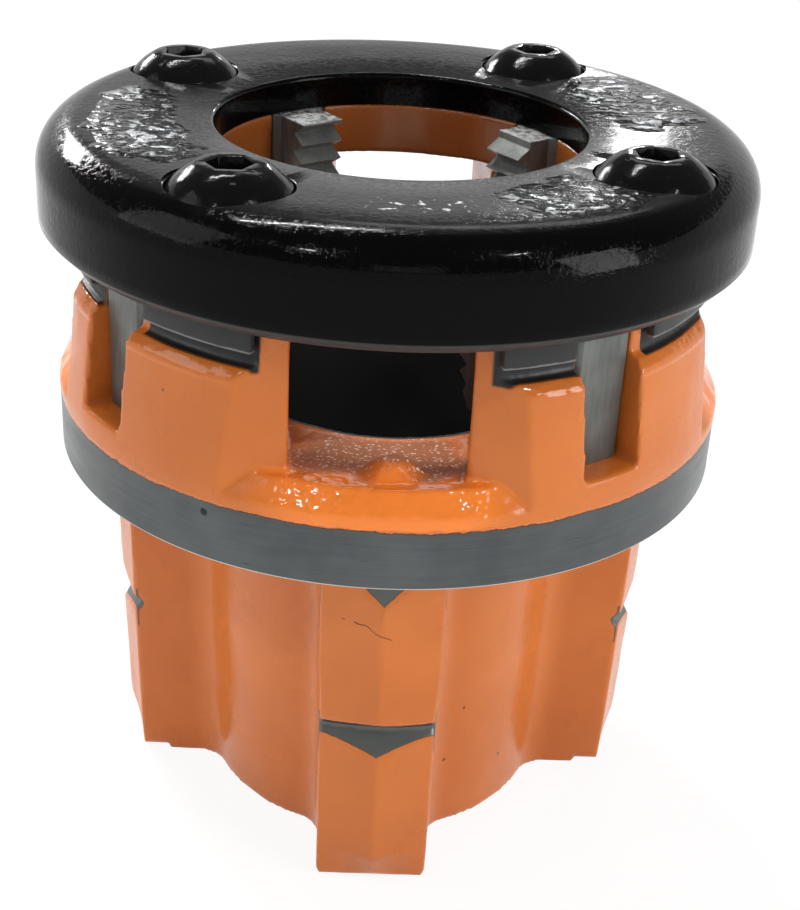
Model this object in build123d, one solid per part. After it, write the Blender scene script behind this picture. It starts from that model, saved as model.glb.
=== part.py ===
from build123d import *
import os
from math import asin, cos, degrees, hypot, radians, sin, tan

# Pipe threading die head, drop-in pattern. Millimetres, +Z up along the pipe's axis.
# The origin is at the middle of the lower end face, and the front rib faces -Y.

# Pipe and thread: nominal 1 inch, 11.5 threads to the inch
pipe_diameter = 33.4
thread_pitch = 2.209
thread_depth = 0.8 * thread_pitch
thread_taper = 1 / 32  # growth of the radius for each millimetre down the axis
thread_start = 0.6  # how far above the body the first die's thread begins

# Body: lower drive end
throat_clearance = 1.85
tube_wall = 2.2
tube_draft = 1.6  # degrees
rib_count = 4
rib_reach = 32.0  # ridge of a rib at the latch notch
rib_spread = 0.9  # the ridge stands this much further out under the flange
rib_width = 13.6  # under the flange
rib_narrowing = 1.0  # the rib is this much narrower at its lower end
rib_roof = 20.0  # degrees that each half of a rib's outer face falls away from its ridge
rib_root_radius = 4.4
rib_end_roof = 3.0  # degrees, nearly flat at the lower end
lead_in_height = 4.8
lead_in_depth = 2.4
notch_height = 22.3  # root of the latch notch
notch_depth = 2.4
notch_above = 1.5
notch_below = 3.0
relief_depth = 2.2
relief_height = 6.7

# Body: flange and castellated part above it
flange_underside = 45.1
flange_height = 6.9
flange_lip = 1.4  # how far the flange stands out past the lugs
overlap = 1.0  # how far a cut or a joined sector reaches past the face it meets
rim_height = 1.5  # cast rim above the machined band, below the tapered lugs
lug_height = 14.3
lug_step = 1.9  # how far the lugs stand out past the drum
lug_round = 1.5
bay_floor = 3.0  # floor of a die slot above the flange
recess_height = 4.9  # room above a lug, up to the cover's edge
skirt_depth = 6.9  # how far the body rises inside the cover's skirt
cavity_step = 1.85  # cavity radius over throat radius
ring_depth = 6.0

# Chip openings between the lugs
opening_left = 10.3  # wall of the opening, from the line of the rib, on the wide lug's side
opening_right = 7.5
opening_flare = 5.0  # degrees that each wall opens inwards
cheek_left = 4.1  # set-back of the flat beside an opening, from the lug's outside
cheek_right = 3.5
cheek_turn_left = 8.0  # degrees
cheek_turn_right = 15.0
cheek_draft = 3.0
cheek_level = 8.8  # height above the flange where the flats have these set-backs
sill_outer = 3.5  # height of the sill above the flange, near its outer rim
sill_inner = 0.5
sill_round = 2.4
post_left = 22.0  # degrees, end of the raised post on the wide lug's side
post_right = 15.4
post_inset = 0.12

# Dies
die_angle = 36.4  # first die, turned from the front rib
die_width = 7.2
die_tip_width = 5.7
die_tip_length = 5.4
die_clearance = 0.12
die_headroom = 0.2
die_back_chamfer = 0.6
lead_threads = 2.5

# Cover
cover_radius = 39.6
cover_plate = 3.8  # thickness at the hole
cover_crown = 0.55  # rise of the top from the hole to the shoulder
cover_shoulder = 5.0
shoulder_steps = 3  # conical steps that stand for the round shoulder
cover_chamfer = 0.8
skirt_wall = 4.6
spigot_clearance = 0.2
pad_thickness = 1.1
pad_inset = 0.1
pad_drop = 3.3
pad_margin = 3.4  # degrees left open at the die window
pad_gap = 0.8  # degrees left open beside a post

# Screws, M8 button head
screw_core = 6.8  # tapping size of the thread, which is left out
screw_length = 14.0
screw_head = 14.0
screw_head_height = 4.4
screw_crown = 8.6  # flat round the socket, with a cone below it that stands for the dome
screw_socket = 5.0
screw_socket_depth = 2.6
screw_angle = 57.0
screw_margin = 4.3  # from the screw circle to the drum's outside
screw_seat_depth = 2.2
screw_play = 0.1
screw_hole_clearance = 1.0
screw_seat_play = 0.35
screw_tip_room = 0.8

# Worked out from the sizes above
pipe_radius = pipe_diameter / 2
crest_radius = pipe_radius - thread_depth
throat_radius = pipe_radius + throat_clearance
tube_radius = throat_radius + tube_wall
cavity_radius = throat_radius + cavity_step
skirt_radius = cover_radius - skirt_wall
drum_radius = skirt_radius - spigot_clearance
lug_radius = drum_radius + lug_step  # at the top of the lugs, which taper up to it
flange_radius = lug_radius + flange_lip
flange_top = flange_underside + flange_height
lug_top = flange_top + lug_height
cover_bottom = lug_top + recess_height
body_height = cover_bottom + skirt_depth
cover_top = body_height + cover_plate + cover_crown
slot_floor = flange_top + bay_floor
ring_underside = body_height - ring_depth
screw_circle = drum_radius - screw_margin
seat_height = cover_top - cover_crown / 2 - screw_seat_depth
slot_width = die_width + 2 * die_clearance
slot_half_angle = degrees(asin(slot_width / 2 / lug_radius))
pitch_angle = 360 / rib_count
far = 3 * flange_radius
on_base = (Align.CENTER, Align.CENTER, Align.MIN)


def polygon(points):
    """Flat face from its corner points."""
    return make_face(Polyline(*points, close=True))


def turned(points):
    """Solid of revolution about the axis from corner points (radius, height)."""
    return revolve(Plane.XZ * polygon(points), Axis.Z)


def sector(points, start, end):
    """Part of a ring between two angles that are counted from the front rib."""
    return revolve(Rot(0, 0, start - 90) * (Plane.XZ * polygon(points)), Axis.Z, end - start)


def around(piece):
    """The piece repeated once for each rib."""
    return [Rot(0, 0, i * pitch_angle) * piece for i in range(rib_count)]


def drive_section(height, reach, roof):
    """Plan of the drive end at a height: a round tube with roofed ribs and hollow roots."""
    radius = tube_radius + height * tan(radians(tube_draft))
    half = (rib_width - rib_narrowing * (1 - height / flange_underside)) / 2
    eave = reach - half * tan(radians(roof))
    rib = polygon([(0, -half), (eave, -half), (reach, 0), (eave, half), (0, half)])
    plan = Circle(radius)
    for one in around(rib):
        plan += one
    roots = [v for v in plan.vertices() if abs(hypot(v.X, v.Y) - radius) < 0.01]
    return (Pos(0, 0, height) * fillet(roots, rib_root_radius)).face()


def drive_end():
    """Ribbed lower end that drops into the ratchet or the machine."""
    levels = [
        (0, rib_reach - lead_in_depth, rib_end_roof),
        (lead_in_height, rib_reach - rib_spread / 3, rib_roof),
        (flange_underside, rib_reach + rib_spread, rib_roof),
    ]
    sections = [drive_section(*level) for level in levels]
    lead_in = loft(sections[:2], ruled=True)
    shaft = loft(sections[1:], ruled=True)
    return lead_in + shaft - latch_notch() - rib_relief()


def latch_notch():
    """Turned groove that cuts across the ridges of the ribs."""
    root = rib_reach - notch_depth
    out = (far - root) / notch_depth
    upper = notch_height + out * notch_above
    lower = notch_height - out * notch_below
    return turned([(root, notch_height), (far, upper), (far, lower)])


def rib_relief():
    """Turned cone that trims the ribs just under the flange."""
    reach = rib_reach + rib_spread
    low = flange_underside - relief_height
    foot = low - (far - reach) * relief_height / relief_depth
    head = flange_underside + overlap
    top_reach = reach - relief_depth * (1 + overlap / relief_height)
    return turned([(reach, low), (top_reach, head), (far, head), (far, foot)])


def casting_blank():
    """Flange, rim, lugs and drum as one turned blank."""
    edge = 0.7 * lug_round
    outline = [
        (throat_radius, flange_underside),
        (flange_radius, flange_underside),
        (flange_radius, flange_top + rim_height),
        (lug_radius, lug_top - edge),
        (lug_radius - edge, lug_top),
        (drum_radius, lug_top),
        (drum_radius, body_height),
        (cavity_radius, body_height),
        (cavity_radius, flange_top + sill_inner),
        (throat_radius, flange_top + sill_inner),
    ]
    return turned(outline)


def post():
    """Raised part of the lugs on both sides of an opening, up to the cover."""
    inner = drum_radius - overlap
    outer = lug_radius - post_inset
    low = lug_top - 2 * lug_round
    profile = [(inner, low), (outer, low), (outer, cover_bottom), (inner, cover_bottom)]
    return sector(profile, -post_left, post_right)


def opening_plan(height):
    """Plan of a chip opening: walls that flare inwards and flat cheeks outside."""
    draft = (flange_top + cheek_level - height) * tan(radians(cheek_draft))
    left = lug_radius - cheek_left + draft
    right = lug_radius - cheek_right + draft
    inner = cavity_radius / 2
    flare = tan(radians(opening_flare))
    side = lug_radius
    plan = [
        (-opening_left - flare * (left - inner), -inner),
        (-opening_left, -left),
        (-opening_left - side, -left - side * tan(radians(cheek_turn_left))),
        (-opening_left - side, -far),
        (opening_right + side, -far),
        (opening_right + side, -right - side * tan(radians(cheek_turn_right))),
        (opening_right, -right),
        (opening_right + flare * (right - inner), -inner),
    ]
    return Pos(0, 0, height) * polygon(plan)


def above_sill():
    """Room over the sloping, rounded sill of the openings."""
    inner = flange_top + sill_inner
    outer = flange_top + sill_outer
    return turned(
        [
            (0, inner),
            (throat_radius, inner),
            (flange_radius - 0.8 * sill_round, outer),
            (flange_radius, outer - sill_round),
            (far, outer - sill_round),
            (far, body_height),
            (0, body_height),
        ]
    )


def chip_opening():
    """Opening over the front rib, up to the inner ring, with the cheeks beside it."""
    low = flange_top
    outside = loft([opening_plan(low), opening_plan(cover_bottom)], ruled=True)
    upper = Pos(0, 0, cover_bottom) * extrude(opening_window(), ring_underside - cover_bottom)
    return (outside + upper) & above_sill()


def opening_window():
    """Plan of the opening inside the drum alone."""
    inner = cavity_radius / 2
    flare = tan(radians(opening_flare)) * (drum_radius - inner)
    return polygon(
        [
            (-opening_left - flare, -inner),
            (-opening_left, -drum_radius),
            (-opening_left, -far),
            (opening_right, -far),
            (opening_right, -drum_radius),
            (opening_right + flare, -inner),
        ]
    )


def die_slot():
    """Straight slot for one die, open at the top, on the X axis."""
    align = (Align.MIN, Align.CENTER, Align.MIN)
    return Pos(0, 0, slot_floor) * Box(far, slot_width, body_height - slot_floor, align=align)


def screw_place(height):
    """Centre of the first screw at a height."""
    angle = radians(screw_angle - 90)
    return Pos(screw_circle * cos(angle), screw_circle * sin(angle), height)


def head_body():
    """The casting: drive end, flange, lugs and inner ring in one piece."""
    upper = casting_blank() + around(post())
    upper -= around(chip_opening())
    upper -= around(Rot(0, 0, die_angle - 90) * die_slot())
    depth = screw_length - (seat_height - body_height) + screw_tip_room
    hole = Cylinder(screw_core / 2 + screw_play, depth, align=on_base)
    upper -= around(screw_place(body_height - depth) * hole)
    bore = Cylinder(throat_radius, flange_top, align=on_base)
    return drive_end() + upper - bore


def cover_ring():
    """Turned form of the cover: flat plate, round shoulder and skirt."""
    r = cover_shoulder
    hole = cavity_radius
    centre = (cover_radius - r, cover_top - r)
    plate = [
        (hole, body_height),
        (hole, cover_top - cover_crown),
    ]
    turns = [radians(90 - 90 * i / shoulder_steps) for i in range(shoulder_steps + 1)]
    shoulder = [(centre[0] + r * cos(a), centre[1] + r * sin(a)) for a in turns]
    skirt = [
        (cover_radius, cover_bottom + cover_chamfer),
        (cover_radius - cover_chamfer, cover_bottom),
        (skirt_radius, cover_bottom),
        (skirt_radius, body_height),
    ]
    return turned(plate + shoulder + skirt)


def pads():
    """Pads that hang from the skirt into the recesses on both sides of a die window."""
    inner = skirt_radius + pad_inset
    outer = skirt_radius + pad_thickness
    low = cover_bottom - pad_drop
    high = cover_bottom + cover_chamfer
    ring = [(inner, low), (outer, low), (outer, high), (inner, high)]
    narrow = sector(ring, post_right + pad_gap, die_angle - slot_half_angle - pad_margin / 2)
    wide = sector(ring, die_angle + slot_half_angle + pad_margin, pitch_angle - post_left - pad_gap)
    return around(narrow) + around(wide)


def cover_plate_piece():
    """Ring cover with its pads, screw holes and sunk seats."""
    cover = cover_ring() + pads()
    hole = Cylinder(screw_core / 2 + screw_hole_clearance, cover_plate, align=on_base)
    seat = Cylinder(screw_head / 2 + screw_seat_play, cover_plate, align=on_base)
    return cover - around(screw_place(body_height) * hole) - around(screw_place(seat_height) * seat)


def toothed_profile(shift):
    """Side view of a die in the XZ plane: back, top, teeth with their lead-in, and foot."""
    top = body_height - die_headroom
    first = body_height + thread_start + shift
    lead_height = lead_threads * thread_pitch
    points = [(drum_radius, slot_floor), (drum_radius, top)]
    for i in range(int((first - slot_floor) / thread_pitch) + 1):
        gap_height = first - i * thread_pitch
        tooth_height = gap_height - thread_pitch / 2
        grow = (body_height - tooth_height) * thread_taper
        lead = max(0, slot_floor + lead_height - tooth_height) * thread_depth / lead_height
        if slot_floor < gap_height < top:
            points.append((max(pipe_radius + grow, crest_radius + grow + lead), gap_height))
        if slot_floor < tooth_height < top:
            points.append((crest_radius + grow + lead, tooth_height))
    points.insert(2, (points[2][0], top))
    points.append((points[-1][0], slot_floor))
    return Plane.XZ * polygon(points)


def die(number):
    """One cutting die: a toothed profile as wide as its slot, narrowed to the tip."""
    profile = toothed_profile((number - 2) * -thread_pitch / rib_count)
    blank = extrude(profile, die_width / 2, both=True)
    return Rot(0, 0, die_angle - 90 + number * pitch_angle) * (blank & die_plan())


def die_plan():
    """Plan of a die along the X axis, as a tall prism: wide back and slim tip."""
    back = drum_radius
    neck = crest_radius + die_tip_length
    half = die_width / 2
    slim = die_tip_width / 2
    c = die_back_chamfer
    right_side = [
        (0, -slim),
        (neck - half + slim, -slim),
        (neck, -half),
        (back - c, -half),
        (back, -half + c),
    ]
    left_side = [(x, -y) for x, y in reversed(right_side)]
    return extrude(polygon(right_side + left_side), body_height)


def cover_screw():
    """Button head screw with a hexagon socket, standing on its seat."""
    radius = screw_head / 2
    crown = screw_crown / 2
    rise = screw_head_height
    shank = screw_core / 2
    points = [
        (0, -screw_length),
        (shank, -screw_length),
        (shank, 0),
        (radius, 0),
        (crown, rise),
        (0, rise),
    ]
    socket = extrude(RegularPolygon(screw_socket / 2, 6, major_radius=False), screw_socket_depth)
    return turned(points) - Pos(0, 0, rise - screw_socket_depth) * socket


def main():
    os.makedirs("parts", exist_ok=True)
    export_step(head_body(), "parts/head_body.step")
    export_step(cover_plate_piece(), "parts/cover_plate.step")
    for i in range(rib_count):
        export_step(die(i), f"parts/die_{i + 1}.step")
    screws = around(screw_place(seat_height) * cover_screw())
    export_step(Compound(children=screws), "parts/cover_screws.step")


main()
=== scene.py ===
from math import asin, atan2, cos, degrees, hypot, pi, radians, sin, tan

import bpy
from mathutils import Matrix, Vector


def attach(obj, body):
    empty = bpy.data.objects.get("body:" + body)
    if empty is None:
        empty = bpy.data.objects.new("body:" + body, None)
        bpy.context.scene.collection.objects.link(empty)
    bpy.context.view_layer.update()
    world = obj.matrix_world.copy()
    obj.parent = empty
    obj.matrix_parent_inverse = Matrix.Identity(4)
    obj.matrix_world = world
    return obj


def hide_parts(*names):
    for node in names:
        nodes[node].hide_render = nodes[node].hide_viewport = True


mm = 0.001
quarter = pi / 2
weld = {"mesh": 0.002, "profile": 0.001}  # points closer than this in mm become one

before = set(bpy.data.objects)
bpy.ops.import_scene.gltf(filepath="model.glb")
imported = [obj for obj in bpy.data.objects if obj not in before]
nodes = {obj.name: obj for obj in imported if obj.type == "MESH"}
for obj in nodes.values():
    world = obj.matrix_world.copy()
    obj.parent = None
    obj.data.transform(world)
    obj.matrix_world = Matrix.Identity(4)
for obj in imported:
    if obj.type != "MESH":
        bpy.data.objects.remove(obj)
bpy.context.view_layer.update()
print("frame loaded:", ", ".join(sorted(nodes)))


def extent(name):
    # greatest radius, lowest and highest point of a CAD node in mm
    corners = [v.co for v in nodes[name].data.vertices]
    reach = max(hypot(v.x, v.y) for v in corners)
    return reach / mm, min(v.z for v in corners) / mm, max(v.z for v in corners) / mm


flangeReach, _, bodyTop = extent("head_body")
coverReach, padLevel, coverTop = extent("cover_plate")


def deselectAll():
    if bpy.context.mode != "OBJECT":
        bpy.ops.object.mode_set(mode="OBJECT")
    bpy.ops.object.select_all(action="DESELECT")


def pick(obj):
    deselectAll()
    obj.select_set(True)
    bpy.context.view_layer.objects.active = obj


def openMesh(obj, kind="VERT"):
    pick(obj)
    bpy.ops.object.mode_set(mode="EDIT")
    bpy.ops.mesh.select_mode(type=kind)
    bpy.ops.mesh.select_all(action="SELECT")


def closeMesh():
    bpy.ops.object.mode_set(mode="OBJECT")


def applyModifier(obj, kind, **settings):
    pick(obj)
    modifier = obj.modifiers.new(kind.title(), kind)
    for key, value in settings.items():
        setattr(modifier, key, value)
    bpy.ops.object.modifier_apply(modifier=modifier.name)


def settle(obj, name):
    # place goes into the mesh and the object to the origin
    pick(obj)
    bpy.ops.object.transform_apply(location=True, rotation=True, scale=True)
    obj.name = name
    obj.data.name = name
    return obj


def cleanNormals(obj):
    openMesh(obj)
    bpy.ops.mesh.remove_doubles(threshold=weld["mesh"] * mm)
    bpy.ops.mesh.normals_make_consistent(inside=False)
    closeMesh()


def smooth(obj, angle=180):
    pick(obj)
    if angle < 180:
        bpy.ops.object.shade_smooth_by_angle(angle=radians(angle))
    else:
        bpy.ops.object.shade_smooth()


def setOut(obj, reach, angle):
    # sets a mesh made at the axis out to its place, the angle counted from the front rib
    turn = radians(angle - 90)
    obj.data.transform(Matrix.Translation((reach * cos(turn) * mm, reach * sin(turn) * mm, 0)))


def copyAround(obj, names):
    # copies with their own mesh, each a quarter further round the pipe axis
    made = [obj]
    for i, name in enumerate(names[1:], 1):
        other = obj.copy()
        other.data = obj.data.copy()
        bpy.context.scene.collection.objects.link(other)
        other.data.transform(Matrix.Rotation(i * quarter, 4, "Z"))
        other.name = name
        other.data.name = name
        made.append(other)
    obj.name = names[0]
    return made


def drawProfile(points):
    # one vertex, drawn out point by point in the XZ plane (radius, height in mm) and back to its start
    deselectAll()
    bpy.ops.mesh.primitive_plane_add(size=mm, location=(0, 0, 0))
    obj = bpy.context.object
    openMesh(obj)
    bpy.ops.mesh.merge(type="CENTER")
    first = Vector((points[0][0] * mm, 0, points[0][1] * mm))
    bpy.ops.transform.translate(value=first)
    at = first
    for r, z in points[1:] + points[:1]:
        to = Vector((r * mm, 0, z * mm))
        bpy.ops.mesh.extrude_region_move(TRANSFORM_OT_translate={"value": to - at})
        at = to
    bpy.ops.mesh.select_all(action="SELECT")
    bpy.ops.mesh.remove_doubles(threshold=weld["profile"] * mm)
    return obj


def turnRing(name, points, steps):
    # a closed profile spun all the way round
    obj = drawProfile(points)
    bpy.ops.mesh.spin(steps=steps, angle=2 * pi, center=(0, 0, 0), axis=(0, 0, 1))
    closeMesh()
    cleanNormals(obj)
    return settle(obj, name)


def turnSector(name, points, start, end, steps):
    # a filled profile spun from one angle to another, counted from the front rib
    obj = drawProfile(points)
    bpy.ops.mesh.edge_face_add()
    bpy.ops.mesh.spin(steps=steps, angle=radians(end - start), center=(0, 0, 0), axis=(0, 0, -1))
    closeMesh()
    obj.data.transform(Matrix.Rotation(radians(start - 90), 4, "Z"))
    cleanNormals(obj)
    return settle(obj, name)


def arcPoints(centre, radius, start, end, count):
    # points on an arc in the (radius, height) plane, angles in degrees
    span = [radians(start + (end - start) * i / count) for i in range(count + 1)]
    return [(centre[0] + radius * cos(a), centre[1] + radius * sin(a)) for a in span]


def mergedCopy(node, name):
    # a CAD node is loose triangles, so the copy is merged before it is worked on
    obj = node.copy()
    obj.data = node.data.copy()
    obj.parent = None
    for key in list(obj.keys()):
        del obj[key]
    bpy.context.scene.collection.objects.link(obj)
    openMesh(obj)
    bpy.ops.mesh.remove_doubles(threshold=weld["mesh"] * mm)
    closeMesh()
    obj.name = name
    obj.data.name = name
    obj.data.materials.clear()
    return obj


# the cylinders that cut a slice out of the body, in mm; the inner one runs right through
slicer = {"sides": 128, "outer": 60, "tall": 200, "middle": 40}


def trim(obj, tool, operation="DIFFERENCE"):
    applyModifier(obj, "BOOLEAN", operation=operation, solver="EXACT", object=tool)
    bpy.data.objects.remove(tool)


def addSlug(radius, low, high):
    # a plain cylinder between two heights, to cut with
    bpy.ops.mesh.primitive_cylinder_add(
        vertices=slicer["sides"],
        radius=radius * mm,
        depth=(high - low) * mm,
        location=(0, 0, (low + high) / 2 * mm),
    )
    return bpy.context.object


def keepBetween(obj, low, high, outer=slicer["outer"], inner=0):
    # keeps the slice between two heights and two radii
    deselectAll()
    trim(obj, addSlug(outer, low, high), "INTERSECT")
    if inner:
        half = slicer["tall"] / 2
        trim(obj, addSlug(inner, slicer["middle"] - half, slicer["middle"] + half))


def join(obj, other):
    # takes the other mesh into this one, for a remesh that melts them together
    deselectAll()
    other.select_set(True)
    obj.select_set(True)
    bpy.context.view_layer.objects.active = obj
    bpy.ops.object.join()


def castSkin(obj, s):
    # rounds every edge as sand casting and thick paint do, and lets the faces wander a little
    applyModifier(obj, "REMESH", mode="VOXEL", voxel_size=s["voxel"] * mm)
    applyModifier(obj, "SMOOTH", factor=s["relax"], iterations=s["rounds"])
    texture = bpy.data.textures.new(obj.name + "Waves", "CLOUDS")
    texture.noise_scale = s["waveWidth"] * mm
    texture.noise_depth = 1
    height = s["waveHeight"] * mm
    applyModifier(obj, "DISPLACE", texture=texture, texture_coords="LOCAL", strength=height, mid_level=0.5)
    applyModifier(obj, "DECIMATE", ratio=s["keep"])
    smooth(obj)
    print(f"{obj.name}: {len(obj.data.polygons)} faces")


def softEdges(obj, s):
    # a small two-step bevel on every edge sharper than the given angle
    width = s["bevel"] * mm
    sharp = radians(s["sharp"])
    applyModifier(obj, "BEVEL", width=width, segments=2, limit_method="ANGLE", angle_limit=sharp)
    smooth(obj, s["smooth"])


def rgba(colour):
    if isinstance(colour, Value):
        return colour
    return (*colour, 1.0)


class Value:
    # wraps a socket, so that 1 - mask * 0.4 adds its Math nodes
    def __init__(self, finish, socket):
        self.finish = finish
        self.socket = socket

    def maths(self, operation, *others, clamp=False):
        inputs = dict(enumerate((self,) + others))
        return self.finish.node("ShaderNodeMath", {"operation": operation, "use_clamp": clamp}, inputs)

    def flipped(self, operation, other):
        return self.finish.node("ShaderNodeMath", {"operation": operation}, {0: other, 1: self})

    def __add__(self, other):
        return self.maths("ADD", other)

    def __radd__(self, other):
        return self.flipped("ADD", other)

    def __sub__(self, other):
        return self.maths("SUBTRACT", other)

    def __rsub__(self, other):
        return self.flipped("SUBTRACT", other)

    def __mul__(self, other):
        return self.maths("MULTIPLY", other)

    def __rmul__(self, other):
        return self.flipped("MULTIPLY", other)

    def __truediv__(self, other):
        return self.maths("DIVIDE", other)

    def __pow__(self, other):
        return self.maths("POWER", other)

    def above(self, edge, soft):
        # 0 below the edge, 1 over it, across a soft band
        return ((self - edge) * (1 / soft) + 0.5).maths("MULTIPLY", 1.0, clamp=True)

    def below(self, edge, soft):
        return 1 - self.above(edge, soft)

    def within(self, low, high, soft):
        return self.above(low, soft) * self.below(high, soft)

    def most(self, other):
        return self.maths("MAXIMUM", other)

    def least(self, other):
        return self.maths("MINIMUM", other)


class NodeTree:
    # one material, in which every node comes from one method
    def __init__(self, name):
        self.material = bpy.data.materials.new(name)
        self.material.use_nodes = True
        self.tree = self.material.node_tree
        self.tree.nodes.clear()

    def node(self, kind, settings=None, inputs=None, output=0):
        made = self.tree.nodes.new(kind)
        for key, value in (settings or {}).items():
            setattr(made, key, value)
        for key, value in (inputs or {}).items():
            if isinstance(value, Value):
                self.tree.links.new(value.socket, made.inputs[key])
            else:
                made.inputs[key].default_value = value
        return Value(self, made.outputs[output])

    def finishWith(self, shader):
        out = self.tree.nodes.new("ShaderNodeOutputMaterial")
        self.tree.links.new(shader.socket, out.inputs[0])

    def put(self, *objs):
        for obj in objs:
            obj.data.materials.clear()
            obj.data.materials.append(self.material)


class Finish(NodeTree):
    # a painted or bare surface; places on it are read in mm and in degrees from the front rib
    spotSoft = 0.4  # soft edge of a small mark, as a share of its size
    patchSoft = 0.35  # mm of soft edge along the radius for each degree of it round the axis

    def __init__(self, name, **plain):
        super().__init__(name)
        inputs = {key.replace("_", " "): value for key, value in plain.items()}
        shader = self.node("ShaderNodeBsdfPrincipled", {}, inputs)
        self.shader = shader.socket.node
        self.finishWith(shader)
        self.coords = self.node("ShaderNodeTexCoord", output="Object")
        self.x, self.y, self.z = (part * (1 / mm) for part in self.split(self.coords))
        self.radius = (self.x * self.x + self.y * self.y) ** 0.5
        self.turn = (self.x.maths("ARCTAN2", -1 * self.y)) * (180 / pi)
        across, along, self.upward = self.split(self.node("ShaderNodeNewGeometry", output="Normal"))
        self.outward = (across * self.x + along * self.y) / self.radius

    def split(self, vector):
        parts = self.node("ShaderNodeSeparateXYZ", {}, {0: vector}).socket.node.outputs
        return [Value(self, parts[i]) for i in range(3)]

    def noise(self, size, detail=2.0, rough=0.5, stretch=(1, 1, 1), twist=0.0):
        # size is the width of one blotch in mm
        place = self.coords
        if stretch != (1, 1, 1):
            place = self.node("ShaderNodeVectorMath", {"operation": "MULTIPLY"}, {0: place, 1: stretch})
        inputs = {
            "Vector": place,
            "Scale": 1 / (size * mm),
            "Detail": detail,
            "Roughness": rough,
            "Distortion": twist,
        }
        return self.node("ShaderNodeTexNoise", {}, inputs)

    def cells(self, size):
        # distance from the nearest of many scattered points, size is the width of one cell in mm
        return self.node("ShaderNodeTexVoronoi", {}, {"Vector": self.coords, "Scale": 1 / (size * mm)})

    def spot(self, place, size):
        # 1 inside a small round mark at a place in mm
        inputs = {0: self.coords, 1: tuple(p * mm for p in place)}
        away = self.node("ShaderNodeVectorMath", {"operation": "DISTANCE"}, inputs, output="Value")
        return (away * (1 / mm)).below(size, size * self.spotSoft)

    def patch(self, start, end, inner, outer, soft):
        # 1 between two angles and two radii
        sector = self.turn.within(start, end, soft)
        return sector * self.radius.within(inner, outer, soft * self.patchSoft)

    def blend(self, mask, first, second):
        # first where the mask is 0, second where it is 1
        inputs = {"Factor": mask, 6: rgba(first), 7: rgba(second)}
        return self.node("ShaderNodeMix", {"data_type": "RGBA"}, inputs, output=2)

    def bump(self, height, depth, under=None):
        # depth in mm for a height of 1
        inputs = {"Height": height * (depth * mm), "Distance": 1.0, "Strength": 1.0}
        if under:
            inputs["Normal"] = under
        return self.node("ShaderNodeBump", {}, inputs)

    def feed(self, **sockets):
        for key, value in sockets.items():
            self.tree.links.new(value.socket, self.shader.inputs[key.replace("_", " ")])


orangePaint = {
    "lit": (0.60, 0.163, 0.027),
    "deep": (0.51, 0.130, 0.019),
    # wetSheen: brighter orange where the paint pooled glossy, a painted sheen
    "wetSheen": (0.84, 0.215, 0.030),
    # shade: painted shade inside the cavity
    "shade": (0.16, 0.045, 0.010),
    "sand": (0.40, 0.140, 0.050),
    # sandGlint: pale specks on the sand-cast grain, painted glints
    "sandGlint": (0.95, 0.78, 0.64),
    "rust": (0.13, 0.05, 0.02),
    "metal": (0.115, 0.12, 0.115),
    # darkBoreAndShade: the throat's dark bare bore, partly painted shade, and painted shade in the recess
    # behind the pads
    "darkBoreAndShade": (0.012, 0.012, 0.012),
    "specular": 0.38,
    # width of a blotch in mm, detail and roughness
    "grain": {
        "drift": (16, 3),
        "flecks": (0.66, 4, 0.6),
        "sand": (0.30, 3, 0.65),
        "sandEdge": (3.5, 2),
        "pitField": (18, 0),
        "sandGlintField": (0.8, 2, 0.6),
        "peel": (1.1, 2),
        "wander": (5.5, 1),
        "drips": (2.6, 2, 0.5),
    },
    # start, end and soft edge: degrees from the nearest rib where across, otherwise mm
    "zone": {
        "sillAcross": (-20, 17, 7),
        "sillHeight": (52.6, 57.8, 0.8),
        "footAcross": (-18, 15, 8),
        "footHeight": (50.5, 55.0, 1.0),
        "notchHeight": (18.8, 24.2, 0.3),
        "reliefHeight": (37.8, 45.4, 0.5),
        "topHeight": (64.6, 67.8, 0.4),
        "shortPadAcross": (15.4, 30.2, 0.5),
        "longPadAcross": (22.0, 45.2, 0.5),
        "recessRadius": (33.0, 35.7, 0.25),
        "recessHeight": (65.8, 71.8, 0.3),
    },
    # one limit and its soft edge
    "edge": {
        "drift": (0.5, 0.5),
        "sillRadius": (18.0, 1.0),
        "sillUpward": (0.3, 0.3),
        "sandRadius": (32.6, 3.0),
        "footRadius": (34.5, 1.0),
        "cutDepth": (0.22, 0.12),
        "cutRadius": (28.9, 0.3),
        "cutFacing": (0.45, 0.2),
        "topUpward": (0.12, 0.1),
        "topRadius": (33.0, 0.5),
        "throatRadius": (19.2, 0.2),
        "cavityRadius": (21.0, 0.4),
        "cavityHeight": (53.5, 0.5),
        "bare": (0.62, 0.12),
        "rim": (0.42, 0.1),
        "pit": (0.045, 0.02),
        "pitField": (0.58, 0.04),
        "sandGlint": (0.34, 0.1),
        "sandGlintField": (0.5, 0.06),
    },
    "cells": {"pit": 4.5, "sandGlint": 0.5},
    # how ragged an edge is, and how thickly one colour covers another
    "ragged": {"sand": 7, "metal": 0.8},
    "cover": {"sand": 0.85, "shade": 0.8, "metallic": 0.85, "topDrips": 0.6},
    # what each mark adds to the roughness, and its depth in mm
    "rough": {
        "paint": 0.25,
        "wander": 0.2,
        "bare": 0.14,
        "throat": 0.35,
        "wetSheen": 0.15,
        "tops": 0.14,
        "sand": 0.1,
        "shadedRecess": 0.3,
    },
    "depth": {"peel": 0.02, "wander": 0.12, "sand": 0.30, "drips": 0.45, "marks": -0.12},
}

# the roofed rib: reach of its ridge at the foot, gain per mm of height, fall of its halves in degrees
roof = {"reach": 31.56, "draft": 0.03, "fall": 20}

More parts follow.
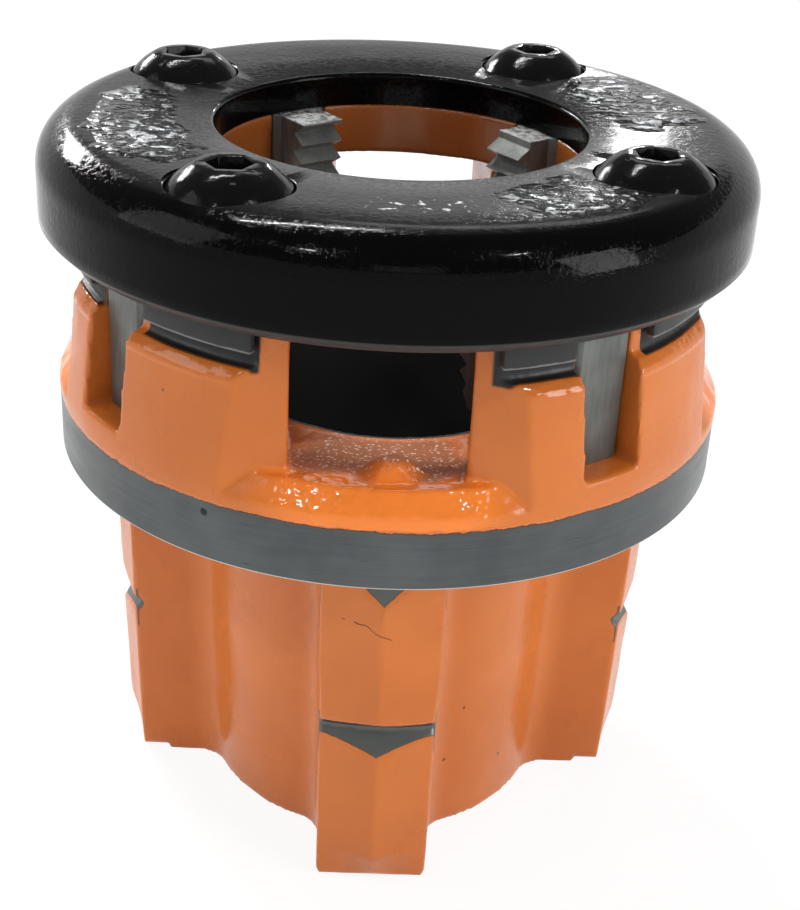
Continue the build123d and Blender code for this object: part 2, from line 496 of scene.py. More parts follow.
# small dark marks in the paint: place in mm and size
paintPits = [
    ((3.7, -32.0, 9.5), 0.15),
    ((5.3, -31.6, 6.8), 0.13),
    ((6.2, -32.0, 34.8), 0.16),
    ((-25.3, -16.0, 34.5), 0.20),
    ((-22.9, -29.2, 62.0), 0.13),
    ((-20.8, -30.8, 58.2), 0.12),
    ((19.5, -31.5, 60.5), 0.12),
]

# the crack runs down to the right: gently over its first length, steeply from the bend on
crack = {
    "left": -4.4,
    "right": 1.0,
    "high": 37.1,
    "first": 2.5,
    "gentle": 0.1,
    "bend": -1.9,
    "steep": 0.56,
    "soft": 0.1,
    "front": (-25, 1),
    "wobble": (1.2, 2),
    "swing": 0.5,
    "line": (0.05, 0.05),
    "gaps": (0.8, 2),
    "broken": (0.45, 0.1),
}


def hairCrack(f):
    s = crack
    fallen = (f.x - s["left"]).most(0.0).least(s["first"]) * s["gentle"]
    rise = s["high"] - fallen - (f.x - s["bend"]).most(0.0) * s["steep"]
    along = f.x.within(s["left"], s["right"], s["soft"]) * f.y.below(*s["front"])
    wobble = (f.noise(*s["wobble"]) - 0.5) * s["swing"]
    line = (f.z - rise + wobble).maths("ABSOLUTE").below(*s["line"])
    return line * along * f.noise(*s["gaps"]).above(*s["broken"])


def underRoof(f, quad):
    # how far a point lies under the roofed face of the nearest rib
    local = quad * (pi / 180)
    ridge = f.z * roof["draft"] + roof["reach"]
    face = ridge - (f.radius * local.maths("SINE")).maths("ABSOLUTE") * tan(radians(roof["fall"]))
    return face - f.radius * local.maths("COSINE")


def paintOrange():
    look = orangePaint
    grain, zone, edge = look["grain"], look["zone"], look["edge"]
    cover, rough, depth = look["cover"], look["rough"], look["depth"]
    f = Finish("orangeCastPaint", Specular_IOR_Level=look["specular"])
    drift = f.noise(*grain["drift"])
    flecks = f.noise(*grain["flecks"])
    sand = f.noise(*grain["sand"])
    quad = (f.turn + 45).maths("FLOORED_MODULO", 90) - 45  # degrees from the nearest rib

    onSill = quad.within(*zone["sillAcross"]) * f.upward.above(*edge["sillUpward"])
    onSill = onSill * f.z.within(*zone["sillHeight"]) * f.radius.above(*edge["sillRadius"])
    sandEdge = (f.noise(*grain["sandEdge"]) - 0.5) * look["ragged"]["sand"]
    sandy = onSill * (f.radius + sandEdge).below(*edge["sandRadius"])
    wetSheen = onSill * (1 - sandy)
    foot = quad.within(*zone["footAcross"]) * f.z.within(*zone["footHeight"])
    foot = foot * f.radius.above(*edge["footRadius"])

    cutDeep = underRoof(f, quad).above(*edge["cutDepth"]) * f.radius.above(*edge["cutRadius"])
    cutFace = f.upward.maths("ABSOLUTE").most(f.outward).above(*edge["cutFacing"]) * cutDeep
    cuts = (f.z.within(*zone["notchHeight"]) * cutFace).most(f.z.within(*zone["reliefHeight"]) * cutFace)
    cuts = cuts + (flecks - 0.5) * look["ragged"]["metal"]
    bare = cuts.above(*edge["bare"])
    rim = cuts.above(*edge["rim"])

    tops = f.z.within(*zone["topHeight"]) * f.upward.above(*edge["topUpward"])
    tops = tops * f.radius.above(*edge["topRadius"])
    throat = f.radius.below(*edge["throatRadius"])
    cavity = f.radius.below(*edge["cavityRadius"]) * f.z.above(*edge["cavityHeight"])
    behindPads = quad.within(*zone["shortPadAcross"]).most((quad * -1).within(*zone["longPadAcross"]))
    # painted shade: the face behind the pads, between lug tops and cover, turns black
    shadedRecess = behindPads * f.radius.within(*zone["recessRadius"]) * f.z.within(*zone["recessHeight"])

    pits = f.cells(look["cells"]["pit"]).below(*edge["pit"])
    pits = pits * f.noise(*grain["pitField"]).above(*edge["pitField"])
    for place, size in paintPits:
        pits = pits.most(f.spot(place, size))
    sandGlints = sandy * f.cells(look["cells"]["sandGlint"]).below(*edge["sandGlint"])
    sandGlints = sandGlints * f.noise(*grain["sandGlintField"]).above(*edge["sandGlintField"])
    marks = rim.most(pits).most(hairCrack(f))

    paint = f.blend(drift.above(*edge["drift"]), look["lit"], look["deep"])
    # painted sheen: the glossy pooled paint on the sills and the foot gets a brighter orange
    paint = f.blend(wetSheen.most(foot), paint, look["wetSheen"])
    paint = f.blend(sandy * cover["sand"], paint, look["sand"])
    # painted glints: pale specks scattered over the sandy sills
    paint = f.blend(sandGlints, paint, look["sandGlint"])
    # painted shade: the inside of the crown is darkened
    paint = f.blend(cavity * cover["shade"], paint, look["shade"])
    paint = f.blend(marks, paint, look["rust"])
    paint = f.blend(bare, paint, look["metal"])
    # black in the throat, the dark bare bore with painted shade, and in the recess behind the pads, painted
    # shade
    colour = f.blend(throat.most(shadedRecess), paint, look["darkBoreAndShade"])

    peel = f.noise(*grain["peel"])
    wander = f.noise(*grain["wander"])
    drips = f.noise(*grain["drips"])
    shine = rough["paint"] + (wander - 0.5) * rough["wander"]
    shine = shine + bare * rough["bare"] + throat * rough["throat"] - wetSheen * rough["wetSheen"]
    shine = shine - tops * rough["tops"] + sandy * rough["sand"] + shadedRecess * rough["shadedRecess"]
    height = f.bump(peel, depth["peel"])
    height = f.bump(wander, depth["wander"], height)
    height = f.bump(sand * sandy, depth["sand"], height)
    height = f.bump(drips * wetSheen.most(tops * (1 - shadedRecess) * cover["topDrips"]), depth["drips"], height)
    height = f.bump(marks, depth["marks"], height)
    f.feed(Base_Color=colour, Roughness=shine, Metallic=bare * cover["metallic"], Normal=height)
    return f


blackPaint = {
    "base": (0.0010, 0.0011, 0.0012),
    # top: paler black on the flat top, a painted sheen
    "top": (0.0090, 0.0092, 0.0086),
    "edge": (0.042, 0.044, 0.046),
    "glare": (0.62, 0.64, 0.66),
    "specular": 0.08,
    # rough-cast fields: start and end angle, inner and outer radius
    "fields": [(-104, -50, 25.0, 33.6), (20, 50, 24.0, 35.0), (90, 132, 24.5, 34.5)],
    "fieldSoft": 16,
    # the patch of painted glints at the front, with its soft edge
    "frontGlints": (-6, 13, 27.8, 31.6, 2.0),
    # width of a blotch in mm, detail, roughness
    "grain": {
        "fieldEdge": (6, 3, 0.6),
        "frontGlints": (1.1, 2, 0.6),
        "lumps": (1.25, 3, 0.62),
        "folds": (2.2, 3, 0.55),
        "peel": (1.1, 2),
        "wander": (10, 1),
        "glints": (4.5, 1),
        "streaks": (0.7, 3, 0.7),
        "topSheen": (14, 2),
        "haze": (13, 2),
    },
    # one limit and its soft edge
    "limit": {
        "flatUpward": (0.93, 0.08),
        "flatHeight": (81.0, 0.4),
        "field": (0.62, 0.35),
        "fieldHeight": (80.4, 0.6),
        "frontGlints": (0.60, 0.06),
        "chamferHeight": (72.35, 0.15),
        "glintTips": (0.61, 0.04),
        "glints": (0.42, 0.1),
        "streaks": (0.55, 0.1),
    },
    "ragged": 1.3,
    "foldTwist": 1.2,
    # folds and lumps in a glint, height of a streak, painted glare on the front glints; then least and range
    # of the painted sheen on the flat top
    "share": {"folds": 0.6, "lumps": 0.5, "streaks": 0.25, "frontGlints": 0.8, "metallic": 0.7},
    "topSheen": (0.65, 0.7),
    "rough": {"paint": 0.06, "haze": 0.05, "chamfer": 0.25, "flat": 0.08, "field": 0.05},
    "depth": {"peel": 0.008, "wander": 0.10, "streaks": 0.03, "lumps": 0.35, "folds": 0.6},
}


def paintBlack():
    look = blackPaint
    grain, limit, share, rough, depth = (look[k] for k in ("grain", "limit", "share", "rough", "depth"))
    f = Finish("blackCastPaint", Specular_IOR_Level=look["specular"])
    flat = f.upward.above(*limit["flatUpward"]) * f.z.above(*limit["flatHeight"])
    field = f.patch(*look["fields"][0], soft=look["fieldSoft"])
    for place in look["fields"][1:]:
        field = field.most(f.patch(*place, soft=look["fieldSoft"]))
    field = field + (f.noise(*grain["fieldEdge"]) - 0.5) * look["ragged"]
    field = field.above(*limit["field"]) * f.z.above(*limit["fieldHeight"])
    frontGlints = f.patch(*look["frontGlints"]) * f.noise(*grain["frontGlints"]).above(*limit["frontGlints"]) * flat
    lumps = f.noise(*grain["lumps"])
    folds = f.noise(*grain["folds"], twist=look["foldTwist"])
    peel = f.noise(*grain["peel"])
    wander = f.noise(*grain["wander"])
    chamfer = f.z.below(*limit["chamferHeight"])
    glints = field * (folds * share["folds"] + lumps * share["lumps"]).above(*limit["glintTips"])
    glints = glints * f.noise(*grain["glints"]).above(*limit["glints"])
    streaks = f.noise(*grain["streaks"]).above(*limit["streaks"]) * share["streaks"]

    some, more = look["topSheen"]
    colour = f.blend(chamfer, look["base"], look["edge"])
    # painted sheen: the flat top is made paler, patchy with the topSheen noise
    colour = f.blend(flat * (some + f.noise(*grain["topSheen"]) * more).least(1.0), colour, look["top"])
    # painted glare: glints in the rough-cast fields and the front glints
    colour = f.blend(glints.most(frontGlints * share["frontGlints"]), colour, look["glare"])
    shine = rough["paint"] + (f.noise(*grain["haze"]) - 0.5) * rough["haze"]
    shine = shine + chamfer * rough["chamfer"] + flat * rough["flat"] - field * rough["field"]
    height = f.bump(peel, depth["peel"])
    height = f.bump(wander, depth["wander"], height)
    height = f.bump(streaks * (1 - field), depth["streaks"], height)
    height = f.bump(lumps * field, depth["lumps"], height)
    height = f.bump(folds * field, depth["folds"], height)
    f.feed(Base_Color=colour, Roughness=shine, Metallic=glints * share["metallic"], Normal=height)
    return f


screwPaint = {
    "base": (0.0035, 0.0036, 0.0038),
    "worn": (0.09, 0.09, 0.09),
    "specular": 0.09,
    # width of a blotch in mm, detail and roughness; a limit comes with its soft edge
    "wear": (1.6, 3, 0.6),
    "wearFrom": (0.7, 0.08),
    "wearHeight": (83.5, 0.4),
    "rough": 0.15,
    "haze": (3, 2),
    "hazeRange": 0.1,
    "grain": (0.9, 2),
    "grainDepth": 0.04,
    "waves": (3.0, 2, 0.5),
    "waveDepth": 0.16,
}


def paintScrews():
    look = screwPaint
    f = Finish("blackScrewPaint", Specular_IOR_Level=look["specular"])
    worn = f.noise(*look["wear"]).above(*look["wearFrom"]) * f.z.above(*look["wearHeight"])
    waves = f.bump(f.noise(*look["waves"]), look["waveDepth"])
    f.feed(
        Base_Color=f.blend(worn, look["base"], look["worn"]),
        Roughness=look["rough"] + (f.noise(*look["haze"]) - 0.5) * look["hazeRange"],
        Normal=f.bump(f.noise(*look["grain"]), look["grainDepth"], waves),
    )
    return f


barMetal = {
    "light": (0.120, 0.128, 0.128),
    "dark": (0.070, 0.078, 0.080),
    "scratch": (0.030, 0.032, 0.034),
    # edge: painted highlight along the lower bevel
    "edge": (0.62, 0.62, 0.60),
    "metallic": 0.9,
    "pit": ((-18.6, -33.3, 50.6), 0.42),
    # width of a blotch in mm, detail, roughness and stretch: turning marks run round the band
    "grain": {
        "lines": (0.5, 2, 0.6, (0.05, 0.05, 3.0)),
        "blots": (9, 3, 0.6),
        "smears": (3, 2, 0.5, (0.4, 0.4, 2.5)),
        "scratches": (0.55, 3, 0.7, (0.07, 0.07, 3.5)),
        "scratchField": (7, 2),
        "ragged": (0.8, 4, 0.7),
        "drift": (5, 1),
    },
    # one limit and its soft edge
    "limit": {
        "tone": (0.52, 0.4),
        "scratches": (0.70, 0.05),
        "scratchField": (0.50, 0.15),
        "lowerEdgeHighlight": (45.32, 0.1),
        "painted": (52.36, 0.05),
    },
    "paintLine": (52.26, 52.40, 0.06),  # dark line along the ragged edge of the paint
    "share": {"lines": 0.35, "blots": 0.7, "ragged": 0.6, "drift": 0.6, "line": 0.85},
    "rough": {"metal": 0.34, "smears": 0.2},
    "depth": {"lines": 0.012, "scratches": -0.06, "paint": 0.10},
}


def turnedMetal():
    look = barMetal
    grain, limit, share, rough, depth = (look[k] for k in ("grain", "limit", "share", "rough", "depth"))
    f = Finish("turnedBareBand", Metallic=look["metallic"])
    lines = f.noise(*grain["lines"])
    blots = f.noise(*grain["blots"])
    smears = f.noise(*grain["smears"])
    tone = (lines * share["lines"] + blots * share["blots"]).above(*limit["tone"])
    scratches = f.noise(*grain["scratches"]).above(*limit["scratches"])
    scratches = scratches * f.noise(*grain["scratchField"]).above(*limit["scratchField"])
    marks = scratches.most(f.spot(*look["pit"]))
    over = f.z + (f.noise(*grain["ragged"]) * share["ragged"] + f.noise(*grain["drift"]) * share["drift"])
    painted = over.above(*limit["painted"])
    line = over.within(*look["paintLine"])

    colour = f.blend(tone, look["dark"], look["light"])
    colour = f.blend(marks, colour, look["scratch"])
    # painted highlight: a pale line along the lower edge of the band
    colour = f.blend(f.z.below(*limit["lowerEdgeHighlight"]), colour, look["edge"])
    colour = f.blend(painted, colour, orangePaint["lit"])
    colour = f.blend(line * share["line"], colour, orangePaint["rust"])
    height = f.bump(marks, depth["scratches"], f.bump(lines, depth["lines"]))
    f.feed(
        Base_Color=colour,
        Roughness=rough["metal"] + (smears - 0.5) * rough["smears"],
        Metallic=look["metallic"] - painted * look["metallic"],
        Normal=f.bump(painted, depth["paint"], height),
    )
    return f


dieMetal = {
    "light": (0.170, 0.178, 0.168),
    "dark": (0.085, 0.090, 0.084),
    "paleTop": (0.30, 0.30, 0.29),
    # width of a blotch in mm, detail, roughness and stretch: grinding marks run up the die
    "lines": (0.5, 2, 0.6, (1.0, 1.0, 0.12)),
    "blots": (4.2, 2),
    "paleTopField": (1.2, 3, 0.7),
    # one limit and its soft edge
    "paleTopFrom": (0.5, 0.1),
    "paleTopUpward": (0.9, 0.1),
    "paleTopHeight": (77.5, 0.2),
    "tone": (0.5, 0.4),
    "lineShare": 0.5,
    "blotShare": 0.5,
    # value on bare steel, and how far the paler top changes it
    "roughness": (0.42, 0.2),
    "roughRange": 0.2,
    "metallic": (0.5, 0.4),
    "lineDepth": 0.01,
    "paleTopDepth": 0.05,
}


def groundSteel():
    look = dieMetal
    f = Finish("groundDieSteel")
    lines = f.noise(*look["lines"])
    blots = f.noise(*look["blots"])
    # upward faces at the top are paler, rougher and less metallic, in patches
    paleTopMask = f.upward.above(*look["paleTopUpward"]) * f.z.above(*look["paleTopHeight"])
    paleTopMask = paleTopMask * f.noise(*look["paleTopField"]).above(*look["paleTopFrom"])
    tone = (lines * look["lineShare"] + blots * look["blotShare"]).above(*look["tone"])
    rough, paleTopRough = look["roughness"]
    metallic, paleTopMetallic = look["metallic"]
    f.feed(
        Base_Color=f.blend(paleTopMask, f.blend(tone, look["dark"], look["light"]), look["paleTop"]),
        Roughness=rough + (blots - 0.5) * look["roughRange"] + paleTopMask * paleTopRough,
        Metallic=metallic - paleTopMask * paleTopMetallic,
        Normal=f.bump(lines, look["lineDepth"], f.bump(paleTopMask, look["paleTopDepth"])),
    )
    return f


padPaint = {
    "face": (0.024, 0.026, 0.025),
    "edge": (0.15, 0.155, 0.15),
    "specular": 0.25,
    # the worn lower edge: its height, soft edge and how ragged it is
    "edgeHigh": 0.42,
    "edgeSoft": 0.1,
    "ragged": (1.5, 2),
    "raggedBy": 0.3,
    "haze": (3, 2),
    "rough": (0.3, 0.3),
    "grain": (0.7, 2),
    "grainDepth": 0.025,
}


def padGrey():
    look = padPaint
    f = Finish("padGrey", Specular_IOR_Level=look["specular"])
    ragged = f.z + f.noise(*look["ragged"]) * look["raggedBy"]
    low = ragged.below(padLevel + look["edgeHigh"], look["edgeSoft"])
    some, more = look["rough"]
    f.feed(
        Base_Color=f.blend(low, look["face"], look["edge"]),
        Roughness=f.noise(*look["haze"]) * more + some,
        Normal=f.bump(f.noise(*look["grain"]), look["grainDepth"]),
    )
    return f


screwBlack = paintScrews()
orangeCast = paintOrange()
blackCast = paintBlack()
bareBand = turnedMetal()
dieSteel = groundSteel()
padFinish = padGrey()
print("finishes ready")


# the two cast pieces: slice of the body, voxel and waves of the skin in mm, share of faces kept
drive = {
    "low": -0.6,
    "high": 45.6,
    "outer": 34.6,
    "inner": 19.0,
    "voxel": 0.33,
    "relax": 0.5,
    "rounds": 4,
    "waveWidth": 8,
    "waveHeight": 0.2,
    "keep": 0.43,
}
crown = {
    "low": 51.7,
    "high": 79.0,
    "voxel": 0.33,
    "relax": 0.5,
    "rounds": 3,
    "waveWidth": 7,
    "waveHeight": 0.22,
    "keep": 0.4,
}
swell = {"from": 37.4, "by": 1.0015}  # the painted rim stands a hair proud of the bare band
# a leaning stump on the front sill, which the skin melts into a blob
lump = {
    "place": (-1.4, -33.0, 55.2),
    "sides": 5,
    "wide": 5.0,
    "tip": 1.5,
    "tall": 3.0,
    "lean": (1.5, 1.2),
    "deep": 0.85,
}
# rounded lower end of a rib: radius it starts from, reach, height, depth, half width and corner
toe = {"from": 26.0, "reach": 31.7, "high": 7.2, "deep": 3.9, "half": 6.35, "corner": 1.6}


def hollow(share):
    # 0 to 1 along a quarter of a circle
    share = min(max(share, 0.0), 1.0)
    return 1 - (1 - share**2) ** 0.5


def roundToes(obj):
    # the casting rounds the lower ends of the ribs and their corners
    s = toe
    for vertex in obj.data.vertices:
        turn = round(atan2(vertex.co.x, -vertex.co.y) / quarter) * quarter
        place = Matrix.Rotation(-turn, 3, "Z") @ vertex.co / mm
        across, reach, z = place.x, -place.y, place.z
        if reach > s["from"] and z < s["high"]:
            reach = min(reach, s["reach"] - s["deep"] * hollow(1 - z / s["high"]))
            side = s["half"] - s["corner"] * hollow(1 - z / s["corner"])
            across = min(max(across, -side), side)
            vertex.co = Matrix.Rotation(turn, 3, "Z") @ Vector((across, -reach, z)) * mm


def makeDriveEnd():
    s = drive
    obj = mergedCopy(nodes["head_body"], "castDriveEnd")
    keepBetween(obj, s["low"], s["high"], s["outer"], s["inner"])
    castSkin(obj, s)
    roundToes(obj)
    orangeCast.put(obj)
    return settle(obj, "castDriveEnd")


def makeLump():
    s = lump
    deselectAll()
    x, y, z = s["place"]
    bpy.ops.mesh.primitive_cone_add(
        vertices=s["sides"],
        radius1=s["wide"] * mm,
        radius2=s["tip"] * mm,
        depth=s["tall"] * mm,
        location=(x * mm, y * mm, z * mm),
    )
    obj = bpy.context.object
    bpy.ops.transform.resize(value=(1.0, s["deep"], 1.0))
    bpy.ops.object.transform_apply(location=True, rotation=True, scale=True)
    for vertex in obj.data.vertices:
        vertex.select = vertex.co.z > z * mm
    pick(obj)
    bpy.ops.object.mode_set(mode="EDIT")
    bpy.ops.transform.translate(value=(s["lean"][0] * mm, s["lean"][1] * mm, 0))
    closeMesh()
    return obj


def makeCrown():
    s = crown
    obj = mergedCopy(nodes["head_body"], "castCrown")
    keepBetween(obj, s["low"], s["high"])
    join(obj, makeLump())
    for vertex in obj.data.vertices:
        vertex.select = hypot(vertex.co.x, vertex.co.y) > swell["from"] * mm
    bpy.ops.object.mode_set(mode="EDIT")
    bpy.ops.transform.resize(value=(swell["by"], swell["by"], 1.0), center_override=(0, 0, 0))
    closeMesh()
    castSkin(obj, s)
    orangeCast.put(obj)
    return settle(obj, "castCrown")


throat = {
    "r": 18.55,
    "wall": 0.7,
    "low": 0.05,
    "high": 52.3,
    "chamfer": (0.54, 0.6),
    "steps": 128,
    "smooth": 40,
}
band = {
    "r": flangeReach,
    "inner": 30.0,
    "low": 45.1,
    "high": 52.0,
    "edge": 0.3,
    "lip": (0.5, 0.1),
    "steps": 192,
    "smooth": 40,
}


def makeThroat():
    s = throat
    out = s["r"] + s["wall"]
    wide, tall = s["chamfer"]
    points = [
        (s["r"], s["low"] + tall),
        (s["r"] + wide, s["low"]),
        (out, s["low"]),
        (out, s["high"]),
        (s["r"], s["high"]),
    ]
    obj = turnRing("throatLiner", points, s["steps"])
    smooth(obj, s["smooth"])
    orangeCast.put(obj)
    return obj


def makeBand():
    s = band
    r, e = s["r"], s["edge"]
    points = [(s["inner"], s["low"]), (r - e, s["low"])]
    points += arcPoints((r - e, s["low"] + e), e, -80, -10, 3)
    back, up = s["lip"]
    points += [(r, s["low"] + e), (r, s["high"]), (r - back, s["high"] + up)]
    points += [(s["inner"], s["high"])]
    obj = turnRing("machinedBand", points, s["steps"])
    smooth(obj, s["smooth"])
    bareBand.put(obj)
    return obj


driveEnd = makeDriveEnd()
crownCast = makeCrown()
liner = makeThroat()
bandRing = makeBand()
print("casting made")


cover = {
    "hole": 20.4,
    "r": coverReach,
    "under": bodyTop,
    "top": coverTop,
    "crown": 0.55,
    # the worn top falls away towards the hole: radius and drop below the top
    "dish": ((27.0, 0.25), (31.4, 0.06)),
    "shoulder": 5.0,
    "bottom": 71.2,
    "chamfer": 1.0,
    "chamferSoft": (0.06, 0.12),  # how far its two edges are rounded off
    "skirtEdges": (1.2, 0.1),  # loops above the chamfer, which keep the skirt's shading straight
    "lip": 0.55,
    "inner": 35.0,
    "steps": 240,
    "smooth": 50,
}

screw = {
    "circle": 30.5,
    "angle": 57.0,
    "seat": 79.975,
    "r": 7.0,
    "rise": 4.4,
    "rim": 0.5,
    "crown": 3.3,
    "foot": 0.5,
    "footEdge": 0.1,
    "domeSteps": 9,
    "sides": 72,
    "socket": 4.1,
    "socketDepth": 2.4,
    "twist": 2.0,  # keeps the corners of the socket off the spokes of the turned crown
    "bevel": 0.14,
    "sharp": 50,
    "smooth": 35,
}

# the seat round a screw: play at its foot, gap along the dome, rolled edge; the rest shapes the cutter
seat = {"play": 0.35, "gap": 0.12, "roll": 0.25, "steps": 4, "flare": 1.3, "over": 2.0}


def domeBall():
    # height of the centre over the seat and radius of the sphere through the rim and the crown
    s = screw
    low, high = s["rim"], s["rise"]
    middle = (s["crown"] ** 2 + high**2 - s["r"] ** 2 - low**2) / (2 * (high - low))
    return middle, hypot(s["r"], low - middle)


def makeSeat(number):
    # a turned cutter: thick paint has closed in on the dome, and the mouth has a rolled edge
    s = seat
    middle, ball = domeBall()
    foot = screw["seat"]
    edge = screw["r"] + s["play"]
    plate = cover["top"] - cover["crown"] / 2
    points = [(0.0, foot), (edge, foot), (edge, foot + screw["rim"])]
    for step in range(1, s["steps"] + 1):
        height = screw["rim"] + (plate - s["roll"] - foot - screw["rim"]) * step / s["steps"]
        points.append(((ball**2 - (height - middle) ** 2) ** 0.5 + s["gap"], foot + height))
    mouth = points[-1][0]
    points += arcPoints((mouth + s["roll"], plate - s["roll"]), s["roll"], 180, 100, 4)
    points += [(mouth + s["roll"] * s["flare"], plate + s["over"]), (0.0, plate + s["over"])]
    obj = turnRing("seatCutter", points, screw["sides"])
    setOut(obj, screw["circle"], screw["angle"] + number * 90)
    return obj


def makeCover():
    s = cover
    r = s["shoulder"]
    centre = (s["r"] - r, s["top"] - r)
    side = s["r"]
    rim = s["top"] - s["crown"]
    points = [(s["hole"], s["under"]), (s["hole"], rim - s["lip"])]
    points += arcPoints((s["hole"] + s["lip"], rim - s["lip"]), s["lip"], 170, 95, 4)
    points += [(at, s["top"] - drop) for at, drop in s["dish"]]
    points += arcPoints(centre, r, 90, 0, 14)
    corner = s["bottom"] + s["chamfer"]
    upper, lower = s["skirtEdges"]
    soft, softer = s["chamferSoft"]
    points += [
        (side, corner + upper),
        (side, corner + lower),
        (side - lower, corner - soft),
        (side - s["chamfer"] + soft, s["bottom"] + soft),
        (side - s["chamfer"] - softer, s["bottom"]),
        (s["inner"], s["bottom"]),
        (s["inner"], s["under"]),
    ]
    obj = turnRing("coverRing", points, s["steps"])
    for number in range(4):
        trim(obj, makeSeat(number))
    smooth(obj, s["smooth"])
    blackCast.put(obj)
    return obj


pad = {
    "inner": 35.1,
    "r": 36.1,
    "low": padLevel,
    "high": 71.8,
    "short": (16.2, 28.9),
    "long": (45.6, 67.2),
    "steps": 16,
    "bevel": 0.2,
    "sharp": 40,
    "smooth": 40,
}


def makePads():
    s = pad
    points = [(s["inner"], s["low"]), (s["r"], s["low"]), (s["r"], s["high"]), (s["inner"], s["high"])]
    made = []
    for word in ("short", "long"):
        start, end = s[word]
        obj = turnSector(word + "Pad1", points, start, end, s["steps"])
        softEdges(obj, s)
        padFinish.put(obj)
        made += copyAround(obj, [f"{word}Pad{i}" for i in (1, 2, 3, 4)])
    return made


coverRing = makeCover()
pads = makePads()
print("cover made")


def makeScrews():
    s = screw
    middle, ball = domeBall()
    start = degrees(asin((s["rim"] - middle) / ball))
    end = degrees(asin((s["rise"] - middle) / ball))
    foot = s["seat"] - s["foot"]
    points = [(0.0, foot), (s["r"] - s["footEdge"], foot), (s["r"], s["seat"])]
    points += arcPoints((0.0, s["seat"] + middle), ball, start, end, s["domeSteps"])
    points += [(0.0, s["seat"] + s["rise"])]
    obj = turnRing("coverScrew1", points, s["sides"])
    deselectAll()
    bpy.ops.mesh.primitive_cylinder_add(
        vertices=6,
        radius=s["socket"] / 2 / cos(pi / 6) * mm,
        depth=2 * s["socketDepth"] * mm,
        location=(0, 0, (s["seat"] + s["rise"]) * mm),
        rotation=(0, 0, radians(s["twist"])),
    )
    trim(obj, bpy.context.object)
    softEdges(obj, s)
    setOut(obj, s["circle"], s["angle"])
    screwBlack.put(obj)
    return copyAround(obj, [f"coverScrew{i}" for i in (1, 2, 3, 4)])


screws = makeScrews()
print("screws made")


dieEdges = {"flat": 2.0, "bevel": 0.09, "sharp": 30, "smooth": 35}


def makeDie(number):
    s = dieEdges
    obj = mergedCopy(nodes[f"die_{number}"], f"cuttingDie{number}")
    openMesh(obj)
    bpy.ops.mesh.dissolve_limited(angle_limit=radians(s["flat"]))
    closeMesh()
    softEdges(obj, s)
    dieSteel.put(obj)
    return settle(obj, f"cuttingDie{number}")


dies = [makeDie(i) for i in (1, 2, 3, 4)]
print("dies made")


# every piece rides on the one body, in place of its solid
for obj in [driveEnd, crownCast, liner, bandRing, coverRing, *pads, *screws, *dies]:
    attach(obj, "root")
for obj in (driveEnd, crownCast, liner, bandRing):
    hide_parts("head_body")
for obj in (coverRing, *pads):
    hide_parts("cover_plate")
for obj in screws:
    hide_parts("cover_screws")
for i, obj in enumerate(dies, 1):
    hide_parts(f"die_{i}")

# the solids under the pieces get the same finishes
for name, node in nodes.items():
    finish = {"head": orangeCast, "cove": blackCast, "die_": dieSteel}[name[:4]]
    finish.put(node)


# a round room with a floor and a low wall; glow and lift are what camera and gloss see of it
room = {"r": 0.96, "wall": 0.40, "sides": 96, "white": 0.86, "glow": 0.86, "lift": 1.04, "sky": 0.22}


def makeRoom():
    s = room
    deselectAll()
    bpy.ops.mesh.primitive_cylinder_add(
        vertices=s["sides"],
        radius=s["r"],
        depth=s["wall"],
        location=(0, 0, s["wall"] / 2),
        end_fill_type="NGON",
    )
    obj = bpy.context.object
    openMesh(obj, "FACE")
    bpy.ops.mesh.select_all(action="DESELECT")
    closeMesh()
    for face in obj.data.polygons:
        face.select = face.normal.z > 0.9  # the lid
    bpy.ops.object.mode_set(mode="EDIT")
    bpy.ops.mesh.delete(type="FACE")
    bpy.ops.mesh.select_all(action="SELECT")
    bpy.ops.mesh.flip_normals()
    closeMesh()

    f = NodeTree("paleRoom")
    seen, glossy, clear = (
        f.node("ShaderNodeLightPath", output=f"Is {ray} Ray") for ray in ("Camera", "Glossy", "Transmission")
    )
    share = seen.most(glossy).most(clear) * s["glow"]
    matt = f.node("ShaderNodeBsdfDiffuse", {}, {0: rgba((s["white"],) * 3)})
    glow = f.node("ShaderNodeEmission", {}, {0: rgba((1, 1, 1)), 1: s["lift"]})
    f.finishWith(f.node("ShaderNodeMixShader", {}, {0: share, 1: matt, 2: glow}))
    f.put(obj)
    settle(obj, "paleRoom")


def makeSky():
    world = bpy.data.worlds.new("dimCeiling")
    bpy.context.scene.world = world
    world.use_nodes = True
    back = world.node_tree.nodes["Background"]
    back.inputs[0].default_value = (1, 1, 1, 1)
    back.inputs[1].default_value = room["sky"]


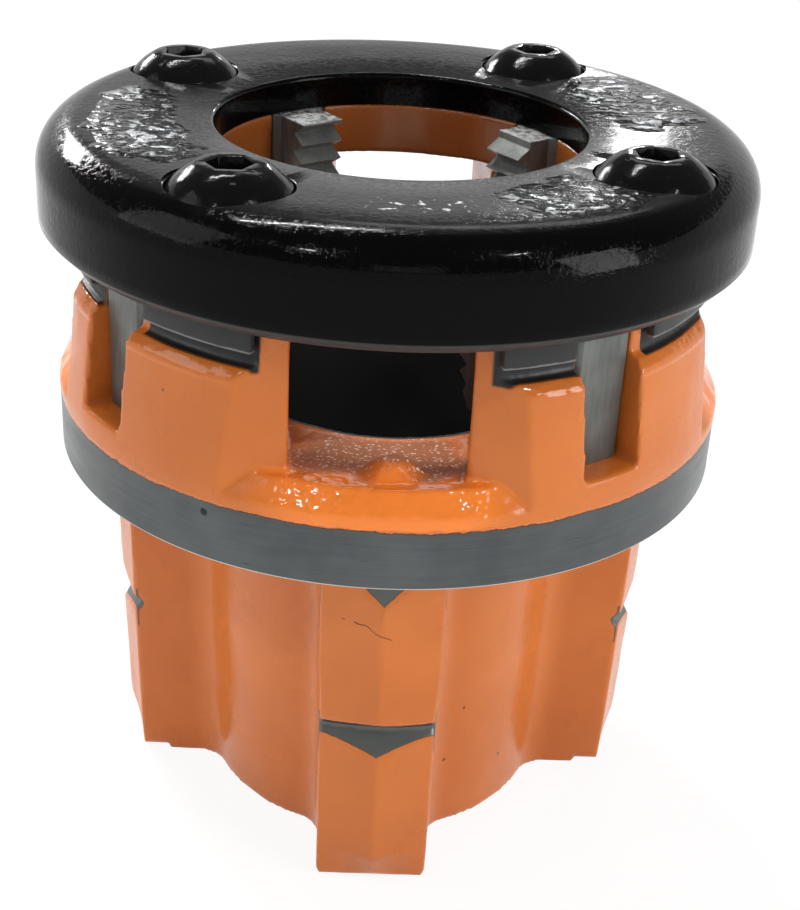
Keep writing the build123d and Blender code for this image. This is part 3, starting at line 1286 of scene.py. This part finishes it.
lampAim = (0, 0, 0.05)
lamps = {
    "leftBox": {"place": (-0.50, -0.12, 0.36), "size": (0.30, 0.36), "power": 0.9},
    "rightBox": {"place": (0.50, -0.26, 0.24), "size": (0.22, 0.36), "power": 1.9},
    "backBox": {"place": (0.10, 0.42, 0.52), "size": (0.30, 0.12), "power": 0.5},
    "frontBox": {"place": (0.03, -0.57, 0.36), "size": (0.21, 0.12), "power": 0.1},
    "tubeOverhead": {"place": (-0.13, 0.185, 0.62), "size": (0.28, 0.016), "power": 3.2},
    "lampFrontLeft": {"place": (-0.23, -0.36, 0.54), "size": (0.05, 0.015), "power": 0.4},
    "lampFrontRight": {"place": (0.29, -0.27, 0.56), "size": (0.05, 0.015), "power": 0.4},
    "glareRight": {"place": (0.080, 0.41, 0.195), "size": (0.034, 0.013), "power": 0.11},
    "glareLeft": {"place": (-0.25, 0.335, 0.245), "size": (0.15, 0.06), "power": 1.2},
}


def makeLamps():
    for name, s in lamps.items():
        data = bpy.data.lights.new(name, "AREA")
        data.shape = "RECTANGLE"
        data.size, data.size_y = s["size"]
        data.energy = s["power"]
        lamp = bpy.data.objects.new(name, data)
        bpy.context.scene.collection.objects.link(lamp)
        place = Vector(s["place"])
        turn = (Vector(lampAim) - place).to_track_quat("-Z", "Y").to_matrix().to_4x4()
        lamp.matrix_world = Matrix.Translation(place) @ turn


camera = {
    "place": (-3.824, -175.041, 131.436),
    "yaw": 1.85,
    "pitch": 27.42,
    "roll": 3.10,
    "lens": 64.2,
    "sensor": 36.0,
    "clip": 0.01,
}


def makeCamera():
    s = camera
    yaw, pitch, roll = radians(s["yaw"]), radians(s["pitch"]), radians(s["roll"])
    look = Vector((sin(yaw) * cos(pitch), cos(yaw) * cos(pitch), -sin(pitch)))
    right = Vector((cos(yaw), -sin(yaw), 0))
    up = right.cross(look)
    across = right * cos(roll) + up * sin(roll)
    upright = up * cos(roll) - right * sin(roll)
    turn = Matrix((across, upright, -look)).transposed().to_4x4()
    data = bpy.data.cameras.new("photoCamera")
    data.sensor_fit = "VERTICAL"
    data.sensor_height = s["sensor"]
    data.lens = s["lens"]
    data.clip_start = s["clip"]
    cam = bpy.data.objects.new("photoCamera", data)
    bpy.context.scene.collection.objects.link(cam)
    cam.matrix_world = Matrix.Translation(Vector(s["place"]) * mm) @ turn
    bpy.context.scene.camera = cam


makeRoom()
makeSky()
makeLamps()
makeCamera()
bpy.context.scene.view_settings.view_transform = "Standard"
print("room, lamps and camera ready")

deselectAll()
bpy.context.view_layer.update()
